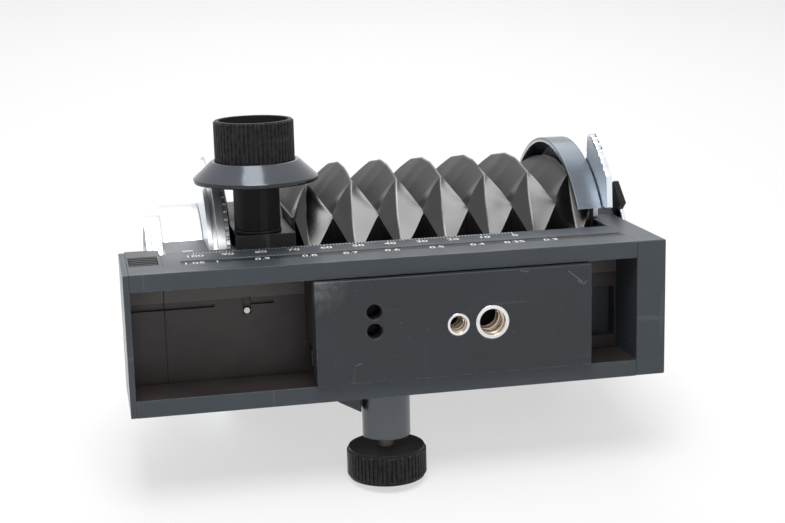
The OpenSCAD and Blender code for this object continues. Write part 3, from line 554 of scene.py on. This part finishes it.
def darkenChannel():
    look = channelShadeLook
    material = materials["rail_paint"]
    nodes, links, _ = nodesOf(material)
    x, y, z = objectAxes(nodes, links)
    across = mathNode(nodes, links, "ABSOLUTE", y)
    channel = mathNode(nodes, links, "LESS_THAN", across, mm(look["halfWidth"]))
    for limits in ((z, mm(look["low"]), mm(look["high"])),
                   (x, alongRail(look["from"]), alongRail(look["to"]))):
        channel = mathNode(nodes, links, "MULTIPLY", channel, between(nodes, links, *limits))
    # the groove's floor is painted near black as shade
    groove = mathNode(
        nodes, links, "MULTIPLY",
        between(nodes, links, y, mm(grooveShadeLook["floorY"] - grooveShadeLook["reach"]),
                mm(grooveShadeLook["floorY"] + grooveShadeLook["reach"])),
        between(nodes, links, z, mm(grooveShadeLook["low"]), mm(grooveShadeLook["high"])))
    repaint(material, groove, tone(*grooveShadeLook["color"]))
    # painted shade inside the channel, with a painted lit band on the ledge
    grain = placeGrain(nodes, look["grain"], look["patches"])
    dark = tone(*look["color"])
    inside = mixColor(nodes, links, grain.outputs["Tone"],
                      shade(dark, look["darker"]), shade(dark, look["paler"]))
    ledge = between(nodes, links, y, mm(look["ledge"][0]), mm(look["ledge"][1]))
    inside = mixColor(nodes, links, ledge, inside, tone(*look["ledgeLitColor"]))
    repaint(material, channel, inside)


# the tripod plate's rear corner is rubbed pale
scuffLook = {"corner": (54.4, -15.8), "reach": 11.0, "strength": 0.8,
             "color": (128, 130, 132), "grain": 2600, "patches": 380}


def scuffPlate():
    look = scuffLook
    material = materials["black_anodised"]
    nodes, links, _ = nodesOf(material)
    apart = nodes.new("ShaderNodeVectorMath")
    apart.operation = "DISTANCE"
    links.new(objectPlace(nodes), apart.inputs[0])
    apart.inputs[1].default_value = (alongRail(look["corner"][0]), mm(look["corner"][1]), 0)
    fade = rangeNode(nodes, links, apart.outputs["Value"], mm(look["reach"]), 0,
                     0, look["strength"])
    rubs = placeGrain(nodes, look["grain"], look["patches"])
    mask = mathNode(nodes, links, "MULTIPLY", fade, rubs.outputs["Tone"])
    repaint(material, mask, tone(*look["color"]))


# the focus knob's skirt is bright and metallic on its cone; above this Y in mm its rim is painted
# near black as shade and made non-metallic
rimShadeLook = {"above": -42.75, "color": (24, 25, 27)}


def darkenRim():
    material = materials["gloss_black"]
    nodes, links, shader = nodesOf(material)
    # painted shade: the rim is coloured near black and loses its metal
    rim = mathNode(nodes, links, "GREATER_THAN", objectAxes(nodes, links)[1],
                   mm(rimShadeLook["above"]))
    repaint(material, rim, tone(*rimShadeLook["color"]))
    cone = mathNode(nodes, links, "SUBTRACT", 1.0, rim)
    links.new(mathNode(nodes, links, "MULTIPLY", cone, finishes["gloss_black"]["metal"]),
              shader.inputs["Metallic"])


darkenChannel()
scuffPlate()
darkenRim()

print("rigid pieces")

# the outer solids get copies with broken edges: their width in mm, by node
edgeWidths = {
    "tripod_plate": 0.35, "slide_block": 0.2, "rail_body": 0.12, "rear_end_cap": 0.25,
    "rear_end_block": 0.3, "catch_button": 0.12, "drive_bush": 0.35, "drive_lug": 0.5,
    "drive_knob": 0.1, "front_standard": 0.45, "front_hood": 0.25, "lens_lock_plate": 0.25,
    "lens_mount": 0.3, "lens_release_lever": 0.25, "camera_base": 0.22, "pinion_block": 0.2,
    "rear_ring": 0.12, "rear_collar": 0.25, "camera_mount": 0.3, "rotation_lever": 0.3,
    "knob_neck": 0.3, "knob_washer": 0.15, "knob_skirt": 0.3, "knob_grip": 0.1,
    "thread_bush_large": 0.2, "thread_bush_small": 0.2, "stop_pin": 0.15,
    "bellows_front_frame": 0.2, "bellows_rear_frame": 0.2, "focus_bearing": 0.2,
}
ownFinish = {"front_hood": "hood_satin", "rear_ring": "ring_satin"}
# flat faces with holes become single faces before their edges are broken
mergedNodes = {"tripod_plate", "slide_block", "front_standard", "lens_release_lever",
               "rotation_lever", "bellows_front_frame", "stop_pin", "camera_base",
               "lens_lock_plate", "knob_grip"}
pairedNodes = {"drive_knob", "rear_ring"}
# angles in degrees, the weld's distance in metres
edgeCut = {"weld": 0.000005, "flat": 0.3, "pair": 0.5, "pairShape": 180,
           "segments": 2, "sharp": 32, "normalWeight": 60}


def softenNode(node, width):
    source = frame["nodes"][node]
    piece = bpy.data.objects.new(node + "_finished", source.data.copy())
    scene.collection.objects.link(piece)
    piece.data.materials.clear()
    startMeshEdit(piece)
    bpy.ops.mesh.customdata_custom_splitnormals_clear()
    bpy.ops.mesh.remove_doubles(threshold=edgeCut["weld"])
    if node in mergedNodes:
        bpy.ops.mesh.dissolve_limited(angle_limit=math.radians(edgeCut["flat"]))
    if node in pairedNodes:
        bpy.ops.mesh.beautify_fill(angle_limit=math.radians(edgeCut["pair"]))
        bpy.ops.mesh.tris_convert_to_quads(face_threshold=math.radians(edgeCut["pair"]),
                                           shape_threshold=math.radians(edgeCut["pairShape"]))
    endMeshEdit()
    bpy.ops.object.shade_smooth()
    edges = piece.modifiers.new("edges", "BEVEL")
    edges.width = mm(width)
    edges.segments = edgeCut["segments"]
    edges.limit_method = "ANGLE"
    edges.angle_limit = math.radians(edgeCut["sharp"])
    edges.use_clamp_overlap = False
    normals = piece.modifiers.new("normals", "WEIGHTED_NORMAL")
    normals.weight = edgeCut["normalWeight"]
    normals.keep_sharp = False
    applyModifiers(piece)
    piece.data.materials.append(materials[ownFinish.get(node, slotOf[node])])
    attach(piece, bodyOf[node])
    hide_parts(node)


for nodeName, edgeWidth in edgeWidths.items():
    softenNode(nodeName, edgeWidth)

for nodeName, nodeObject in frame["nodes"].items():  # the small inner parts keep their solids
    if nodeName in edgeWidths or nodeName == "bellows":
        continue
    nodeObject.data.materials.clear()
    nodeObject.data.materials.append(materials[slotOf[nodeName]])

print("bellows")

# lengths in mm; corners are (y, z) around the optical axis, all lists run the same way round
bellowsShape = {
    "axisY": -2.8, "axisZ": 68.6,
    "rear": 55.1, "front": 152.0, "firstRidge": 58.3, "pleat": 14.65, "ridges": 7,
    "travel": 87.0,
    "ridge": [(-13.2, -37.5), (13.2, -37.5), (34.6, -21.4), (37.8, -6), (37.8, 6), (34.6, 21.4),
              (13.2, 37.5), (-13.2, 37.5), (-34.6, 21.4), (-37.2, 6), (-37.2, -6),
              (-34.6, -21.4)],
    "valley": [(-24.6, -30.4), (24.6, -30.4), (25.7, -29.3), (25.7, -6), (25.7, 6),
               (25.7, 29.3), (24.6, 30.4), (-24.6, 30.4), (-25.7, 29.3), (-25.7, 6),
               (-25.7, -6), (-25.7, -29.3)],
    "cornerOf": [1, 1, 1, 0, 0, 1, 1, 1, 1, 0, 0, 1],  # 1 where a corner folds the other way
    "steps": [16, 16, 12, 6, 12, 16, 16, 16, 12, 6, 12, 16],
    "lean": 1.4, "lastRidge": 0.96,
    "stations": [0, 0.025, 0.06, 0.12, 0.22, 0.36, 0.5, 0.64, 0.78, 0.88, 0.94, 0.975, 1],
    "round": 0.045, "dish": 0.25, "dishShift": 0.35, "thick": 0.7, "sharp": 38,
    "bulge": 0.6, "bulgeWidth": 0.2, "bulgeSkew": 0.8,
    "bulgeCorners": {2: 0.7, 5: 0.8, 8: 0.8, 11: 1.0},
    "sideLean": 2.4, "sideReach": 36, "sidePower": 4,
    "crumple": 0.16, "crumpleEnd": 1.02, "crumpleCorner": 1.6, "crumpleAcross": 0.5,
    "wavesAlong": 0.11, "wavesAcross": 0.16,
}


def foldShare(s):
    # 0 on the ridge and 1 in the valley, rounded at both
    e = bellowsShape["round"]

    def rise(v):
        return math.sqrt(v * v + e * e) - math.sqrt((1 - v) ** 2 + e * e)
    return (rise(s) - rise(0)) / (rise(1) - rise(0))


def blendPair(first, second, t):
    return [first[i] * (1 - t) + second[i] * t for i in (0, 1)]


# the cloth bulges along the crease from a ridge's corner to the valley in front of it
def bulgeAt(corner, after, t, s):
    shape = bellowsShape
    rises = []
    for place, amount in shape["bulgeCorners"].items():
        apart = t if place == corner else 1 - t if place == after else None
        if apart is None:
            continue
        lift = (shape["bulge"] * amount * math.sin(math.pi * s ** shape["bulgeSkew"])
                * math.exp(-(apart / shape["bulgeWidth"]) ** 2))
        length = math.hypot(*shape["ridge"][place])
        rises.append([lift * value / length for value in shape["ridge"][place]])
    return rises


def crumpleAt(x, y, z, s, cornerShare):
    shape = bellowsShape
    grain = Vector((x, y, z))
    away = shape["crumple"] * math.sin(math.pi * min(1, s * shape["crumpleEnd"])) ** 0.5
    away *= 1 + shape["crumpleCorner"] * cornerShare
    across = shape["crumpleAcross"] * away
    return (
        away * noise.noise(grain * shape["wavesAlong"]),
        across * noise.noise(grain * shape["wavesAcross"] + Vector((9, 0, 0))),
        across * noise.noise(grain * shape["wavesAcross"] + Vector((0, 17, 0))),
    )


def bellowsRing(ridgeX, valleyX, ridgeScale, leanBy, s):
    shape = bellowsShape
    share = foldShare(s)
    side = 1 if valleyX > ridgeX else -1
    points = []
    count = len(shape["ridge"])
    for corner in range(count):
        after = (corner + 1) % count
        for step in range(shape["steps"][corner]):
            t = step / shape["steps"][corner]
            high = blendPair(shape["ridge"][corner], shape["ridge"][after], t)
            low = blendPair(shape["valley"][corner], shape["valley"][after], t)
            lean = leanBy * (shape["cornerOf"][corner] * (1 - t) + shape["cornerOf"][after] * t)
            x = ridgeX + (valleyX - ridgeX) * s + lean * share
            y = high[0] * ridgeScale * (1 - share) + low[0] * share
            z = high[1] * ridgeScale * (1 - share) + low[1] * share
            for riseY, riseZ in bulgeAt(corner, after, t, s) if side > 0 else []:
                y += riseY
                z += riseZ
            sideways = min(1, abs(y) / shape["sideReach"]) ** shape["sidePower"]
            x += shape["sideLean"] * (1 - share) * sideways
            middle = 1 - (2 * t - 1) ** 2
            x += side * shape["dish"] * math.sin(math.pi * s) * (shape["dishShift"] - middle)
            dx, dy, dz = crumpleAt(x, y, z, s, shape["cornerOf"][corner] * share)
            points.append((alongRail(x + dx), mm(y + dy + shape["axisY"]),
                           mm(z + dz + shape["axisZ"])))
    return points, share


def bellowsRings():
    shape = bellowsShape
    rings, shares = [], []
    last = shape["ridges"] - 1
    stations = shape["stations"]
    for k in range(shape["ridges"]):
        ridgeX = shape["firstRidge"] + k * shape["pleat"]
        scale = shape["lastRidge"] if k == last else 1
        before = shape["rear"] if k == 0 else ridgeX - shape["pleat"] / 2
        after = shape["front"] if k == last else ridgeX + shape["pleat"] / 2
        leanBefore = 0 if k == 0 else shape["lean"]
        leanAfter = 0 if k == last else shape["lean"]
        behind = reversed(stations[1:] if k == 0 else stations[1:-1])
        row = [(before, leanBefore, s) for s in behind] + [(after, leanAfter, s) for s in stations]
        for valleyX, lean, s in row:
            ring, share = bellowsRing(ridgeX, valleyX, scale, lean, s)
            rings.append(ring)
            shares.append(share)
    return rings, shares


def addBellows():
    shape = bellowsShape
    rings, shares = bellowsRings()
    around = len(rings[0])
    points = [p for ring in rings for p in ring]
    faces = []
    for r in range(len(rings) - 1):
        here, there = r * around, (r + 1) * around
        for a in range(around):
            b = (a + 1) % around
            faces.append((here + a, here + b, there + b, there + a))
    mesh = bpy.data.meshes.new("bellowsCloth")
    mesh.from_pydata(points, [], faces)
    crest = mesh.attributes.new("crest", "FLOAT", "POINT")
    crest.data.foreach_set("value", [1 - share for share in shares for a in range(around)])
    piece = bpy.data.objects.new("bellows_folded", mesh)
    scene.collection.objects.link(piece)
    startMeshEdit(piece)
    bpy.ops.mesh.normals_make_consistent(inside=False)
    endMeshEdit()
    wall = piece.modifiers.new("wall", "SOLIDIFY")
    wall.thickness = mm(shape["thick"])
    wall.offset = -1
    applyModifiers(piece)
    bpy.ops.object.shade_smooth_by_angle(angle=math.radians(shape["sharp"]))
    return piece


# above the lower corner panels the leather is painted paler as light on the sides and made
# rougher, between two heights in mm
leatherLook = {
    "color": (17, 17, 19), "brown": (29, 26, 25), "gloss": 0.66,
    "rough": 0.24, "roughLow": 0.85, "roughHigh": 1.2,
    # the crest colour is a painted highlight along the ridges
    "crest": (190, 190, 192), "crestFrom": 0.955,
    "grain": 1700, "patches": 60, "depth": 0.008,
    "litAndDull": (42, 40, 39), "dullRough": 0.62, "dullFrom": 45.5, "dullTo": 48.5,
}


def leatherMaterial():
    look = leatherLook
    material = bpy.data.materials.new("bellows_leather")
    material.use_nodes = True
    nodes, links, shader = nodesOf(material)
    shader.inputs["Specular IOR Level"].default_value = look["gloss"]
    grain = placeGrain(nodes, look["grain"], look["patches"])
    fold = nodes.new("ShaderNodeAttribute")
    fold.attribute_name = "crest"
    # the ridge crests are painted pale as a highlight, broken up in patches by the grain
    wearAndSheen = rangeNode(nodes, links, fold.outputs["Fac"], look["crestFrom"], 1.0)
    patch = mathNode(nodes, links, "MULTIPLY", wearAndSheen, grain.outputs["Tone"])
    base = mixColor(nodes, links, grain.outputs["Tone"],
                    tone(*look["color"]), tone(*look["brown"]))
    # painted light: the sides above these heights are paler, and rougher too
    litAndDull = rangeNode(nodes, links, objectAxes(nodes, links)[2],
                     mm(look["dullFrom"]), mm(look["dullTo"]))
    base = mixColor(nodes, links, litAndDull, base, tone(*look["litAndDull"]))
    links.new(mixColor(nodes, links, patch, base, tone(*look["crest"])),
              shader.inputs["Base Color"])
    cells = nodes.new("ShaderNodeTexVoronoi")
    cells.feature = "SMOOTH_F1"
    cells.inputs["Scale"].default_value = look["grain"]
    links.new(objectPlace(nodes), cells.inputs["Vector"])
    bump = nodes.new("ShaderNodeBump")
    bump.inputs["Distance"].default_value = mm(look["depth"])
    links.new(mathNode(nodes, links, "ADD", cells.outputs["Distance"], grain.outputs["Height"]),
              bump.inputs["Height"])
    links.new(bump.outputs[0], shader.inputs["Normal"])
    rough = rangeNode(nodes, links, grain.outputs["Tone"], 0, 1,
                      look["rough"] * look["roughLow"], look["rough"] * look["roughHigh"])
    rise = mathNode(nodes, links, "MULTIPLY", litAndDull, look["dullRough"] - look["rough"])
    links.new(mathNode(nodes, links, "ADD", rough, rise), shader.inputs["Roughness"])
    return material


bellows = addBellows()
bellows.data.materials.append(leatherMaterial())
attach(bellows, "rail")
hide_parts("bellows")
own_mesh(bellows)

print("scales and marks")

# lengths in mm on the rail's side, where x is along the rail
scaleMarks = {
    "faceY": -21.2, "zeroAt": 122.15, "last": 100, "top": 28.3, "width": 0.22, "ink": 0.02,
    "lengths": {1: 1.1, 5: 1.6, 10: 2.1},
    "digitsZ": 22.4, "digitsHigh": 2.7,
    "ratios": {"1.05": 21.3, "1": 28.2, "0.9": 41.6, "0.8": 55.7, "0.7": 68.2, "0.6": 81.0,
               "0.5": 94.8, "0.4": 107.6, "0.35": 119.4, "0.3": 131.0},
    "ratioY": -20.9, "ratioZ": 13.6, "ratioHigh": 2.7,
    "index": {"x": 20.8, "z": 32.0, "long": 3.2, "high": 0.9},
    "digitShare": 0.7,  # how much of a text's size a digit is high
    "curveSteps": 4,
}


# a thin printed bar on a face that looks towards -Y
def addBar(name, x, z, wide, high):
    faceY, ink = scaleMarks["faceY"], scaleMarks["ink"]
    bpy.ops.mesh.primitive_plane_add(size=1, location=(alongRail(x), mm(faceY - ink), mm(z)),
                                     rotation=(math.radians(90), 0, 0))
    piece = bpy.context.active_object
    piece.name = name
    piece.scale = (mm(wide), mm(high), 1)
    settle(piece)
    startMeshEdit(piece)
    bpy.ops.mesh.extrude_region_move(TRANSFORM_OT_translate={"value": (0, mm(ink), 0)})
    bpy.ops.mesh.select_all(action="SELECT")
    bpy.ops.mesh.normals_make_consistent(inside=False)
    endMeshEdit()
    return piece


def joinAs(name, parts):
    pick(parts[0])
    for part in parts:
        part.select_set(True)
    if len(parts) > 1:
        bpy.ops.object.join()
    piece = bpy.context.active_object
    piece.name = name
    piece.data.materials.clear()
    piece.data.materials.append(materials["scale_ink"])
    return piece


def addTicks():
    marks = scaleMarks
    bars = []
    for value in range(marks["last"] + 1):
        step = 10 if value % 10 == 0 else 5 if value % 5 == 0 else 1
        long = marks["lengths"][step]
        bars.append(addBar("tick", marks["zeroAt"] - value, marks["top"] - long / 2,
                           marks["width"], long))
    ticks = joinAs("scale_ticks", bars)
    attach(ticks, "rail")


# labels lie on a face that looks towards -Y and read along X
def addDigits(name, labels, faceY, z, high):
    words = []
    for x, label in labels:
        bpy.ops.object.text_add(rotation=(math.radians(90), 0, 0),
                                location=(alongRail(x), mm(faceY), mm(z)))
        word = bpy.context.active_object
        word.data.body = label
        word.data.align_x = "CENTER"
        word.data.size = mm(high) / scaleMarks["digitShare"]
        word.data.extrude = mm(scaleMarks["ink"])
        word.data.resolution_u = scaleMarks["curveSteps"]
        bpy.ops.object.convert(target="MESH")
        word = bpy.context.active_object
        settle(word)
        weld(word)
        words.append(word)
    digits = joinAs(name, words)
    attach(digits, "rail")


addTicks()
addDigits("scale_digits",
          [(scaleMarks["zeroAt"] - v, str(v)) for v in range(0, scaleMarks["last"] + 1, 10)],
          scaleMarks["faceY"], scaleMarks["digitsZ"], scaleMarks["digitsHigh"])
addDigits("ratio_digits", [(x, label) for label, x in scaleMarks["ratios"].items()],
          scaleMarks["ratioY"], scaleMarks["ratioZ"], scaleMarks["ratioHigh"])
dash = scaleMarks["index"]
indexDash = joinAs("index_dash", [addBar("dash", dash["x"], dash["z"], dash["long"],
                                         dash["high"])])
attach(indexDash, "camera_standard")

print("threads and scratches")

# lengths in mm, with x from the large thread's axis and depths from the tripod face
threads = [
    {"name": "large_thread", "x": 0.0, "radius": 3.97, "pitch": 1.5875,
     "from": 0.5, "to": 11.4, "deep": 0.34},
    {"name": "small_thread", "x": -10.5, "radius": 2.58, "pitch": 1.27,
     "from": 0.4, "to": 11.4, "deep": 0.27},
]
wireShape = {"perTurn": 28, "rounding": 1, "sharp": 50}


# a closed round wire along a route in mm, on the tripod slide
def addWire(name, route, thickness, finish):
    curve = bpy.data.curves.new(name, "CURVE")
    curve.dimensions = "3D"
    spline = curve.splines.new("POLY")
    spline.points.add(len(route) - 1)
    for point, place in zip(spline.points, route):
        point.co = (*[mm(value) for value in place], 1)
    curve.bevel_depth = mm(thickness)
    curve.bevel_resolution = wireShape["rounding"]
    curve.use_fill_caps = True
    piece = bpy.data.objects.new(name, curve)
    scene.collection.objects.link(piece)
    pick(piece)
    bpy.ops.object.convert(target="MESH")
    piece = bpy.context.active_object
    weld(piece)
    bpy.ops.object.shade_smooth_by_angle(angle=math.radians(wireShape["sharp"]))
    piece.data.materials.clear()
    piece.data.materials.append(materials[finish])
    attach(piece, "tripod_slide")
    return piece


# the crest of an inner thread winds along the bore
def threadRoute(thread):
    perTurn = wireShape["perTurn"]
    route = []
    for i in range(int((thread["to"] - thread["from"]) / thread["pitch"] * perTurn)):
        angle = 2 * math.pi * i / perTurn
        route.append((thread["x"] + thread["radius"] * math.cos(angle),
                      thread["radius"] * math.sin(angle),
                      thread["from"] + thread["pitch"] * i / perTurn))
    return route


for threadRow in threads:
    threadPiece = addWire(threadRow["name"], threadRoute(threadRow), threadRow["deep"],
                          "thread_brass")

# scratches on the tripod plate, as X along the rail and Y in mm
plateScratches = [
    {"name": "scratch_long", "thick": 0.055,
     "route": [(131.6, -14.0), (133.8, -12.3), (136.2, -10.3)]},
    {"name": "scratch_tick", "thick": 0.06,
     "route": [(134.6, -10.9), (136.6, -9.6), (137.4, -10.6)]},
    {"name": "scratch_low", "thick": 0.045,
     "route": [(66.0, 10.2), (67.1, 9.7), (67.9, 9.8)]},
    {"name": "scratch_top", "thick": 0.05,
     "route": [(116.6, -15.2), (118.4, -14.6), (119.2, -14.9)]},
]
for mark in plateScratches:
    markRoute = [(x + railRear * 1000, y, 0.0) for x, y in mark["route"]]
    addWire(mark["name"], markRoute, mark["thick"], "scratch_pale")

print("done")
